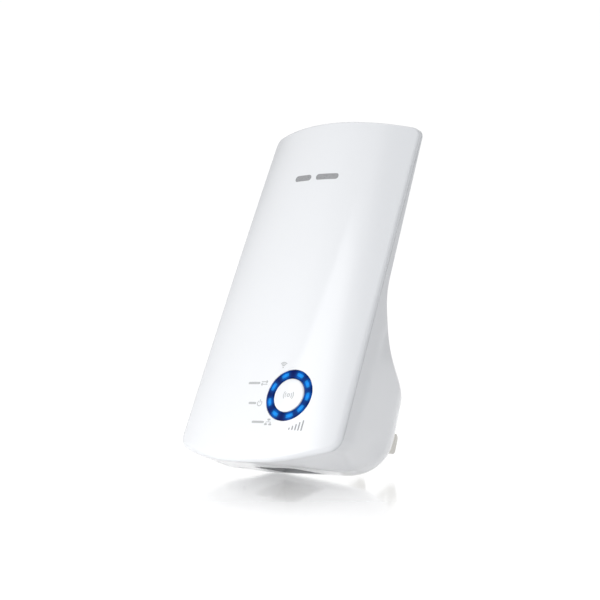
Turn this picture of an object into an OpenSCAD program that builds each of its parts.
// Plug-in wireless range extender: a leaning, convex front plate over a deeper plug block.
// Origin: midway between the two plug blades, on the rear face that rests on the wall.
// +Y points into the wall (the way the blades point), +Z is up, +X is right seen from the front.

/* [Case] */
// Height of the case at its middle
case_h = 110; // [106:1:114]
// Width of the case at its bottom corners
case_w = 65.8; // [64:0.2:68]
// Width of the case at its top corners
top_w = 59; // [57:0.2:61]
// Depth from the front face to the rear face, at the height of the plug
case_d = 40.1; // [39:0.1:41]
// Height of the plug centre above the lowest point
plug_h = 22.2; // [21.8:0.1:22.6]
// Backward lean of the front face, degrees
face_lean = 4.3; // [3.5:0.1:5]
// Wall thickness of the back cover
wall = 2; // [1.8:0.1:2.2]

/* [Front face] */
// Radius of the convex front at its bottom edge
bow_bottom = 104; // [95:1:110]
// Radius of the convex front at its top edge
bow_top = 64; // [60:1:75]
// Thickness of the front cover
front_t = 1.2; // [1.1:0.05:1.3]

/* [Rear] */
// Depth from the rear face to the thin upper plate, at the height of the plug
plate_d = 29.9; // [29.6:0.1:30.2]
// Backward lean of the rear of the upper plate, degrees
plate_lean = 3.3; // [3:0.1:3.6]
// Height above the plug at which the shoulder meets the rear face
shoulder_z = 7.4; // [6:0.2:9]
// Slope of the shoulder below level, degrees
shoulder_slope = 30; // [26:1:34]
// Rise of the underside towards the rear, degrees
bottom_rise = 9; // [8:0.5:11]
// Inward taper of the side walls towards the rear, degrees
side_taper = 13.8; // [12:0.1:15]

/* [Light ring and button] */
// Centre of the ring to the right of the middle
ring_x = 12; // [11:0.1:14]
// Centre of the ring above the plug
ring_z = -1.1; // [-2:0.1:1]
// Outer radius of the light ring
ring_r = 7.9; // [7.5:0.1:8.2]
// Radius of the push button in the ring
button_r = 5.2; // [4.8:0.1:5.3]
// Travel of the push button
button_travel = 0.5; // [0.3:0.05:0.6]

/* [Plug and jack] */
// Length of a blade outside the rear face
blade_l = 16.5; // [15.9:0.1:18.3]
// Height of a blade
blade_h = 6.35; // [6.2:0.05:6.5]
// Thickness of a blade
blade_t = 1.5; // [1.4:0.05:1.6]
// Distance between the blade centres
blade_pitch = 12.7; // [12.5:0.1:12.9]
// Width of the network jack
jack_w = 16; // [15.5:0.1:16.4]

/* [Hidden] */
$fn = 64;
far = 120;               // reaches past the case in every direction
fit = 0.1;               // gap between pieces that fit together
bottom_z = -plug_h;
top_z = case_h - plug_h;
bow_taper = atan((bow_bottom - bow_top) / case_h);

// Boards stand parallel to the wall.
board_t = 1.2;
board_back = -28.4;      // rear face of the main board
board_front = board_back - board_t;
board_top = 26;
board_bottom = -13.5;
power_t = 1.6;
power_back = -8.6;       // rear face of the power board
power_front = power_back - power_t;

// Places of the screws, as [x, z].
board_screw_at = [[-20.5, 21], [20.5, 21], [-20.5, -9], [20.5, -9]];
power_screw_at = [[-15.5, 4.6], [15.5, 4.6]];
case_screw_at = [[0, 46], [0, 76]];
boss_r = 2.4;
pilot_r = 1;
thread_r = 0.9;
screw_head_r = 2;
screw_head_h = 1.3;

// The lights: five show signal strength, four show status.
light_angles = [70, 35, 0, -35, -70, 117, 159, 201, 243];
light_r = ring_r * 0.84;
light_len = 2.4;
light_wide = 1;
led_h = 0.6;
guide_front = -34.8;     // front of the light guide's flange
guide_back = -33.6;
flange_r = 9;

switch_size = 6;
switch_front = board_front - 3.5;
plunger_front = switch_front - 1;
button_skirt = -35;

jack_front = -27;        // short feet hold the jack off the board
jack_d = 13.3;
jack_mouth_z = -15.8;
jack_top_z = 0.2;
mouth_w = 11.7;
mouth_front = -24.6;     // latch side of the plug mouth
mouth_back = -17;
mouth_top = -3.4;
contact_pitch = 1.02;

reset_x = -15;
reset_y = -24.6;
reset_travel = 0.3;
reset_switch_z = -12.6;
lead_x = 13;
lead_y = board_front - 1.22;
label_w = 40;
label_z = [39, 83];
label_t = 0.15;

function unit(v) = v / norm(v);
function inward(v) = [-v.y, v.x];
function prev(p, k) = p[(k + len(p) - 1) % len(p)];
function next(p, k) = p[(k + 1) % len(p)];
// Points of an anticlockwise outline, moved in by a distance.
function moved_in(p, by) = [
    for (k = [0:len(p) - 1])
        let (a = inward(unit(p[k] - prev(p, k))), b = inward(unit(next(p, k) - p[k])))
        p[k] + by * (a + b) / (1 + a * b)
];
function turns_left(p, k) = cross(p[k] - prev(p, k), next(p, k) - p[k]) > 0;

// Half of the angle between the two edges that meet at a point.
function half_angle(p, k) = acos(unit(prev(p, k) - p[k]) * unit(next(p, k) - p[k])) / 2;
function tangent_points(p, r, k) =
    let (reach = r / tan(half_angle(p, k)))
    [p[k] + unit(prev(p, k) - p[k]) * reach, p[k] + unit(next(p, k) - p[k]) * reach];
function arc_centre(p, r, k) =
    p[k] + unit(unit(prev(p, k) - p[k]) + unit(next(p, k) - p[k])) * r / sin(half_angle(p, k));

// An anticlockwise outline with true arcs at its corners, moved in by a distance.
module rounded_outline(points, radii, by = 0) {
    p = moved_in(points, by);
    n = len(p) - 1;
    hollow = [for (k = [0:n]) radii[k] > 0 && !turns_left(p, k)];
    r = [for (k = [0:n]) radii[k] == 0 ? 0 : hollow[k] ? radii[k] + by : max(radii[k] - by, 0.5)];
    difference() {
        polygon([for (k = [0:n]) each hollow[k] ? tangent_points(p, r[k], k) : [p[k]]]);
        for (k = [0:n])
            if (hollow[k]) translate(arc_centre(p, r[k], k)) circle(r[k], $fn = 128);
            else if (r[k] > 0) corner(p, r[k], k);
    }
}

// The sliver outside the arc that rounds a corner.
module corner(p, r, k) {
    t = tangent_points(p, r, k);
    centre = arc_centre(p, r, k);
    difference() {
        polygon([centre, t[0], p[k] + unit(p[k] - centre) * r * 0.2, t[1]]);
        translate(centre) circle(r, $fn = 128);
    }
}

// Extrudes an outline drawn in (x, z) along Y, between two depths.
module along_y(y0, y1) {
    translate([0, y1, 0]) rotate([90, 0, 0]) linear_extrude(y1 - y0) children();
}

// A round bar along Y.
module bar_y(r, y0, y1, x = 0, z = 0) {
    translate([x, y0, z]) rotate([-90, 0, 0]) cylinder(r = r, h = y1 - y0);
}

// A block given by its low and high corners.
module block(low, high) {
    translate(low) cube(high - low);
}

// The frame of the leaning front face: Y is depth behind its middle line.
module in_face_frame() {
    translate([0, -case_d, 0]) rotate([-face_lean, 0, 0]) children();
}

// The frame of the rear of the upper plate: Y is zero on its surface.
module in_plate_frame() {
    translate([0, -plate_d, 0]) rotate([-plate_lean, 0, 0]) children();
}

// The cone whose front line is the middle line of the face.
module face_cone(by = 0) {
    in_face_frame() translate([0, 0, bottom_z - 10]) rotate([bow_taper, 0, 0])
        translate([0, bow_bottom, 0])
        cylinder(r1 = bow_bottom - by, r2 = bow_bottom - by - (case_h + 20) * tan(bow_taper),
            h = case_h + 20, $fn = 256);
}

// Front view: straight tapering sides with an arched top.
module top_prism(by) {
    half_b = case_w / 2;
    half_t = top_w / 2;
    lean = (half_b - half_t) / case_h;
    arch = 1.6;
    along_y(-far, far) rounded_outline([
        [-half_b - lean * 60, bottom_z - 60], [half_b + lean * 60, bottom_z - 60],
        [half_t, top_z - arch], [0, top_z + arch * 0.8], [-half_t, top_z - arch]],
        [0, 0, 2.5, 300, 2.5], by);
}

// Front view of the arched bottom; the rising underside flattens it towards the rear.
module bottom_prism(by) {
    arch_slope = 18;
    arch_r = 85;
    half_b = case_w / 2;
    low = bottom_z - arch_r * (1 / cos(arch_slope) - 1);
    high = low + half_b * tan(arch_slope);
    along_y(-far, far) rounded_outline([
        [0, low], [half_b, high], [half_b, far], [-half_b, far], [-half_b, high]],
        [arch_r, 4, 0, 0, 4], by);
}

// Plan view: tapering sides with rounded rear corners.
module plan_prism(by) {
    rim_y = -32;
    rear_half = case_w / 2 + rim_y * tan(side_taper);
    front_half = rear_half + 60 * tan(side_taper);
    translate([0, 0, -far]) linear_extrude(2 * far) rounded_outline([
        [-front_half, -60], [front_half, -60], [rear_half, 0], [-rear_half, 0]],
        [0, 0, 14.4, 14.4], by);
}

// Side view: upper plate, shoulder, rear face and underside.
module side_prism(by) {
    plate_top = [-plate_d + far * tan(plate_lean), far];
    drop = tan(shoulder_slope);
    neck_z = (shoulder_z + plate_d * drop) / (1 + drop * tan(plate_lean));
    neck = [-(neck_z - shoulder_z) / drop, neck_z];
    rear_low = bottom_z + (case_d + plug_h * sin(face_lean)) * tan(bottom_rise);
    translate([-far, 0, 0]) rotate([90, 0, 90]) linear_extrude(2 * far) rounded_outline([
        [-60, rear_low - 60 * tan(bottom_rise)], [0, rear_low],
        [0, shoulder_z], neck, plate_top, [-60, far]],
        [0, 14, 5, 24, 0, 0], by);
}

// Every outer face except the bowed front, moved in by a distance.
module case_walls(by = 0) {
    intersection() {
        top_prism(by);
        bottom_prism(by);
        plan_prism(by);
        side_prism(by);
    }
}

// The whole case as one solid.
module case_form() {
    intersection() {
        face_cone();
        case_walls();
    }
}

// A rib that keeps the front cover inside the side wall of the back cover.
module locating_rib(side, z) {
    x = side * (half_width(z) - wall - 0.8);
    front = face_y(x, z);
    block([x - 0.6, front + front_t / 2, z - 3], [x + 0.6, front + front_t + 2, z + 3]);
}

// A bowed plate with ribs and bosses behind it.
module front_cover() {
    color("white") {
        difference() {
            case_form();
            face_cone(front_t);
            bar_y(ring_r + 0.05, -far, -30, ring_x, ring_z);
        }
        for (side = [-1, 1])
            for (z = [-8, 16]) locating_rib(side, z);
        difference() {
            union() {
                for (p = board_screw_at)
                    bar_y(boss_r, face_y(p.x, p.y) + front_t / 2, board_front, p.x, p.y);
                for (p = case_screw_at)
                    bar_y(boss_r, face_y(p.x, p.y) + front_t / 2, case_boss_end(p.y), p.x, p.y);
            }
            for (p = board_screw_at) bar_y(pilot_r, board_front - 6, far, p.x, p.y);
            for (p = case_screw_at) bar_y(pilot_r, case_boss_end(p.y) - 3, far, p.x, p.y);
        }
    }
}

function bow_r(z) = bow_bottom - (bow_bottom - bow_top) * (z - bottom_z) / case_h;
function face_y(x, z) = -case_d + z * tan(face_lean) + x * x / 2 / bow_r(z);
function half_width(z) = top_w / 2 + (case_w - top_w) / 2 * (top_z - z) / case_h;
function plate_y(z) = -plate_d + z * tan(plate_lean);
function case_screw_seat(z) = plate_y(z) - 1.7;
function case_boss_end(z) = plate_y(z) - wall - 0.6;

module jack_window() {
    block([-jack_w / 2 - 0.2, jack_front - 0.2, -40], [jack_w / 2 + 0.2, jack_front + jack_d + 0.2, -10]);
}

module back_cover() {
    color("whitesmoke") {
        difference() {
            union() {
                difference() {
                    intersection() {
                        case_walls();
                        face_cone(front_t + fit / 2);
                    }
                    case_walls(wall);
                }
                for (p = power_screw_at) bar_y(boss_r, power_back, -wall / 2, p.x, p.y);
                for (p = case_screw_at)
                    bar_y(boss_r + 0.8, case_boss_end(p.y), plate_y(p.y) - wall / 2, p.x, p.y);
            }
            for (p = power_screw_at) bar_y(pilot_r, power_back - 1, -3, p.x, p.y);
            for (p = case_screw_at) {
                bar_y(pilot_r + 0.1, -far, 0, p.x, p.y);
                bar_y(screw_head_r + 0.1, case_screw_seat(p.y), 0, p.x, p.y);
            }
            jack_window();
            carrier_plug(fit);
            label_pocket();
            translate([reset_x, reset_y, -30]) cylinder(r = 0.8, h = 20);
            for (x = [-18:4:18]) vent_slot(x);
        }
    }
}

// One upright slot in the sloping shoulder.
module vent_slot(x) {
    translate([x, -9, shoulder_z + 9 * tan(shoulder_slope)]) rotate([-shoulder_slope, 0, 0])
        block([-0.8, -5, -5], [0.8, 5, 5]);
}

module label_sheet(t, grow) {
    in_plate_frame()
        block([-label_w / 2 - grow, -t, label_z[0] - grow], [label_w / 2 + grow, 1, label_z[1] + grow]);
}

module label_pocket() {
    label_sheet(0.2, 0.15);
}

// A blank sheet stuck in a shallow pocket; it covers the case screws.
module rear_label() {
    color("silver") in_plate_frame()
        block([-label_w / 2, -0.2, label_z[0]], [label_w / 2, label_t - 0.2, label_z[1]]);
}

// A countersunk-free pan head screw along Y, head towards +Y.
module screw_y(x, z, seat, length, head_r = screw_head_r) {
    bar_y(thread_r, seat - length, seat + 0.01, x, z);
    difference() {
        bar_y(head_r, seat, seat + screw_head_h, x, z);
        for (a = [0, 90])
            translate([x, seat + screw_head_h, z]) rotate([0, a, 0])
                cube([2.2, 1.2, 0.5], center = true);
    }
}

module case_screws() {
    color("gray") for (p = case_screw_at) screw_y(p.x, p.y, case_screw_seat(p.y), 3.6, 1.9);
}

module board_screws() {
    color("gray") for (p = board_screw_at) screw_y(p.x, p.y, board_back, 6);
}

// These go in from the front, into the bosses of the back cover.
module power_screws() {
    color("gray") for (p = power_screw_at)
        translate([p.x, 0, p.y]) rotate([0, 0, 180]) screw_y(0, 0, -power_front, 5.5);
}

// One oblong window bar along Y at its place on the ring.
module light_bar(angle, y0, y1, grow = 0) {
    translate([ring_x, 0, ring_z]) rotate([0, -angle, 0]) translate([light_r, 0, 0])
        block([-light_wide / 2 - grow, y0, -light_len / 2 - grow],
            [light_wide / 2 + grow, y1, light_len / 2 + grow]);
}

// A plain ring along Y, around the button.
module sleeve(r_in, r_out, y0, y1) {
    difference() {
        bar_y(r_out, y0, y1, ring_x, ring_z);
        bar_y(r_in, y0 - 1, y1 + 1, ring_x, ring_z);
    }
}

module light_ring() {
    color("midnightblue") difference() {
        intersection() {
            sleeve(button_r + 0.2, ring_r, -45, guide_front);
            face_cone();
        }
        for (a = light_angles) light_bar(a, -50, -30, 0.02);
    }
}

module light_guide() {
    color("deepskyblue") {
        sleeve(button_r + 0.3, flange_r, guide_front, guide_back);
        intersection() {
            for (a = light_angles) light_bar(a, -45, guide_front + 0.01);
            face_cone(0.05);
        }
        for (a = light_angles) light_bar(a, guide_back - 0.01, board_front - led_h - 0.2);
    }
}

module light_baffle() {
    color("dimgray") difference() {
        sleeve(button_r + 0.4, flange_r, guide_back, board_front);
        for (a = light_angles) light_bar(a, guide_back - 1, 0, 0.1);
    }
}

module status_leds() {
    color("lightyellow") for (a = light_angles) light_bar(a, board_front - led_h, board_front, -0.15);
}

module button_cap() {
    color("white") {
        difference() {
            intersection() {
                bar_y(button_r, -45, button_skirt, ring_x, ring_z);
                face_cone();
            }
            bar_y(button_r - 1.2, -36.8, 0, ring_x, ring_z);
        }
        bar_y(1.6, -36.81, plunger_front, ring_x, ring_z);
    }
}

module button_plunger() {
    color("dimgray") bar_y(1.7, plunger_front, switch_front + 1, ring_x, ring_z);
}

module button_switch() {
    color("silver") difference() {
        translate([ring_x, 0, ring_z])
            block([-switch_size / 2, switch_front, -switch_size / 2],
                [switch_size / 2, board_front, switch_size / 2]);
        bar_y(1.8, switch_front - 1, switch_front + 1 + button_travel + 0.3, ring_x, ring_z);
    }
}

module reset_plunger() {
    color("dimgray")
        translate([reset_x, reset_y, reset_switch_z - 1]) cylinder(r = 0.9, h = 2);
}

module reset_switch() {
    color("silver") difference() {
        block([reset_x - 2.4, board_back, reset_switch_z], [reset_x + 2.4, board_back + 3.4, -8.2]);
        translate([reset_x, reset_y, reset_switch_z - 1])
            cylinder(r = 1, h = 2 + reset_travel + 0.3);
    }
}

module main_board() {
    color("green") difference() {
        block([-25, board_front, board_bottom], [25, board_back, board_top]);
        for (p = board_screw_at) bar_y(pilot_r + 0.15, board_front - 1, board_back + 1, p.x, p.y);
    }
}

// A flat chip on the front (side -1) or the rear (side 1) of the main board.
module board_chip(x, z, w, h, t, side) {
    y = side > 0 ? board_back : board_front - t;
    block([x - w / 2, y, z - h / 2], [x + w / 2, y + t, z + h / 2]);
}

module shield_can() {
    color("silver") difference() {
        board_chip(-8, 11.9, 20, 17, 2.6, -1);
        translate([0, 0.3, 0]) board_chip(-8, 11.9, 19.4, 16.4, 2.6, -1);
    }
}

module processor() {
    color("black") board_chip(-9, 12.5, 12, 12, 1.1, -1);
}

module crystal() {
    color("silver") board_chip(-0.8, 6.5, 3.2, 2.5, 0.8, -1);
}

module memory_chip() {
    color("black") board_chip(-12, 17, 10, 8, 1.1, 1);
}

module flash_chip() {
    color("black") board_chip(-2, 18.5, 5.2, 5.2, 1.4, 1);
}

module network_magnetics() {
    color("black") board_chip(13, 15.5, 12.6, 7, 2, 1);
}

module network_jack() {
    color("black") difference() {
        union() {
            block([-jack_w / 2, jack_front, jack_mouth_z], [jack_w / 2, jack_front + jack_d, jack_top_z]);
            for (x = [-6, 6]) bar_y(1.5, board_back, jack_front + 0.01, x, -3);
        }
        block([-mouth_w / 2, mouth_front, jack_mouth_z - 1], [mouth_w / 2, mouth_back, mouth_top]);
        block([-3.1, mouth_front - 1.2, jack_mouth_z - 1], [3.1, mouth_back, mouth_top]);
        for (k = [-3.5:1:3.5]) contact_slot(k * contact_pitch);
    }
}

// Each contact lies in its own slot behind the plug mouth.
module contact_slot(x) {
    block([x - 0.3, mouth_back - 0.01, -13.5], [x + 0.3, mouth_back + 2, -5]);
}

module jack_contacts() {
    color("gold") for (k = [-3.5:1:3.5])
        translate([k * contact_pitch, mouth_back + 0.9, -5.2]) rotate([186, 0, 0])
            cylinder(r = 0.2, h = 8, $fn = 16);
}

module antenna(side) {
    color("darkseagreen") in_plate_frame()
        block([side > 0 ? 9 : -19, -wall - 0.95, 44], [side > 0 ? 19 : -9, -wall - 0.15, 82]);
}

module antenna_left() {
    antenna(-1);
}

module antenna_right() {
    antenna(1);
}

// A thin coaxial lead from the antenna's foot to its socket on the main board.
module antenna_lead(side) {
    color("gray") {
        translate([side * lead_x, lead_y, 22]) cylinder(r = 0.5, h = 24.5);
        bar_y(1.2, board_front - 1.5, board_front, side * lead_x, 22);
    }
}

module antenna_lead_left() {
    antenna_lead(-1);
}

module antenna_lead_right() {
    antenna_lead(1);
}

module insulation_sheet() {
    color("ivory") along_y(-24.4, -24) difference() {
        translate([-23, -8]) square([46, 17]);
        translate([-jack_w / 2 - 0.4, -9]) square([jack_w + 0.8, jack_top_z + 9.4]);
        translate([-5.8, 5.4]) square([11.6, 5]);
    }
}

module board_link() {
    color("black") block([-5.3, board_back, 6], [5.3, board_back + 2.5, 8.6]);
    color("gold") for (k = [-1.5:1:1.5])
        block([k * 2.54 - 0.32, board_back + 2.49, 6.98], [k * 2.54 + 0.32, power_front, 7.62]);
}

module power_board() {
    color("darkgreen") difference() {
        block([-22.5, power_front, -11.5], [22.5, power_back, 9]);
        for (p = power_screw_at) bar_y(pilot_r + 0.15, power_front - 1, power_back + 1, p.x, p.y);
        for (s = [-1, 1]) blade_slot(s);
    }
}

module blade_slot(side) {
    block([side * blade_pitch / 2 - blade_t / 2 - fit, power_front - 1, -2.6],
        [side * blade_pitch / 2 + blade_t / 2 + fit, power_back + 1, 2.6]);
}

module transformer() {
    color("gold") {
        block([-21, power_front - 12.6, -9.4], [-11, power_front - 0.8, 1.6]);
        difference() {
            block([-23, power_front - 10.4, -7.8], [-8.6, power_front - 3, 0]);
            block([-21.01, power_front - 11, -9], [-10.99, power_front, 1]);
        }
        for (x = [-20, -16, -12]) block([x - 0.4, power_front - 0.81, -8.6], [x + 0.4, power_front, 0.8]);
    }
}

// A round can standing on the front of the power board.
module can(x, z, r, l) {
    bar_y(r, power_front - l, power_front, x, z);
}

module input_capacitors() {
    color("black") for (x = [12.6, 20.4]) can(x, -6, 3.7, 12.5);
}

module output_capacitor() {
    color("darkslateblue") can(10.3, 4.4, 3.1, 11);
}

module choke_coil() {
    color("saddlebrown") {
        can(20.6, 3.4, 2.8, 1);
        can(20.6, 3.4, 2, 7);
        bar_y(2.8, power_front - 8, power_front - 6.99, 20.6, 3.4);
    }
}

module fuse_resistor() {
    color("tan") translate([-4.5, power_front - 2, 3.2]) rotate([0, 90, 0]) cylinder(r = 1.4, h = 9);
    color("silver") for (x = [-4.8, 4.8])
        block([x - 0.31, power_front - 2.3, 2.9], [x + 0.31, power_front, 3.5]);
}

module safety_capacitor() {
    color("royalblue") translate([-21.4, power_front - 3.2, 5.4]) rotate([0, 90, 0])
        cylinder(r = 2.8, h = 3);
    color("silver") for (z = [4.2, 6.6])
        block([-20.2, power_front - 0.7, z - 0.3], [-19.6, power_front, z + 0.3]);
}

// A flat chip on the rear of the power board.
module rear_chip(x, z, w, h, t) {
    block([x - w / 2, power_back, z - h / 2], [x + w / 2, power_back + t, z + h / 2]);
}

module bridge_rectifier() {
    color("black") rear_chip(15.5, -1.6, 4.8, 5, 1.5);
}

module power_controller() {
    color("black") rear_chip(-15.5, -1.6, 4, 5, 1.5);
}

// The part of the carrier that fills the opening in the rear wall.
module carrier_plug(grow = 0) {
    block([-11 - grow, -wall - 1, -4.5 - grow], [11 + grow, 0.5 * sign(grow), 4.5 + grow]);
}

module blade_carrier() {
    color("whitesmoke") difference() {
        union() {
            carrier_plug();
            block([-13, -wall - 3, -5.2], [13, -wall - 0.1, 5.2]);
        }
        for (s = [-1, 1])
            block([s * blade_pitch / 2 - blade_t / 2, -20, -blade_h / 2],
                [s * blade_pitch / 2 + blade_t / 2, 5, blade_h / 2]);
    }
}

// A flat blade with a bevelled tip and a hole; its tail narrows to pass the power board.
module plug_blade(side) {
    half = blade_t / 2;
    color("silver") translate([side * blade_pitch / 2, 0, 0]) difference() {
        union() {
            translate([0, 0, -blade_h / 2]) linear_extrude(blade_h) polygon([
                [-half, -5], [half, -5], [half, blade_l - 1.4],
                [half * 0.4, blade_l], [-half * 0.4, blade_l], [-half, blade_l - 1.4]]);
            block([-half, power_front - 0.8, -2.5], [half, -4.99, 2.5]);
        }
        translate([-5, 11.7, 0]) rotate([0, 90, 0]) cylinder(r = 1.6, h = 10);
    }
}

module plug_blade_left() {
    plug_blade(-1);
}

module plug_blade_right() {
    plug_blade(1);
}

front_cover();
back_cover();
rear_label();
case_screws();
light_ring();
light_guide();
light_baffle();
button_cap();
button_plunger();
button_switch();
reset_plunger();
reset_switch();
main_board();
board_screws();
status_leds();
shield_can();
processor();
crystal();
memory_chip();
flash_chip();
network_magnetics();
network_jack();
jack_contacts();
antenna_left();
antenna_right();
antenna_lead_left();
antenna_lead_right();
insulation_sheet();
board_link();
power_board();
power_screws();
transformer();
input_capacitors();
output_capacitor();
choke_coil();
fuse_resistor();
safety_capacitor();
bridge_rectifier();
power_controller();
blade_carrier();
plug_blade_left();
plug_blade_right();
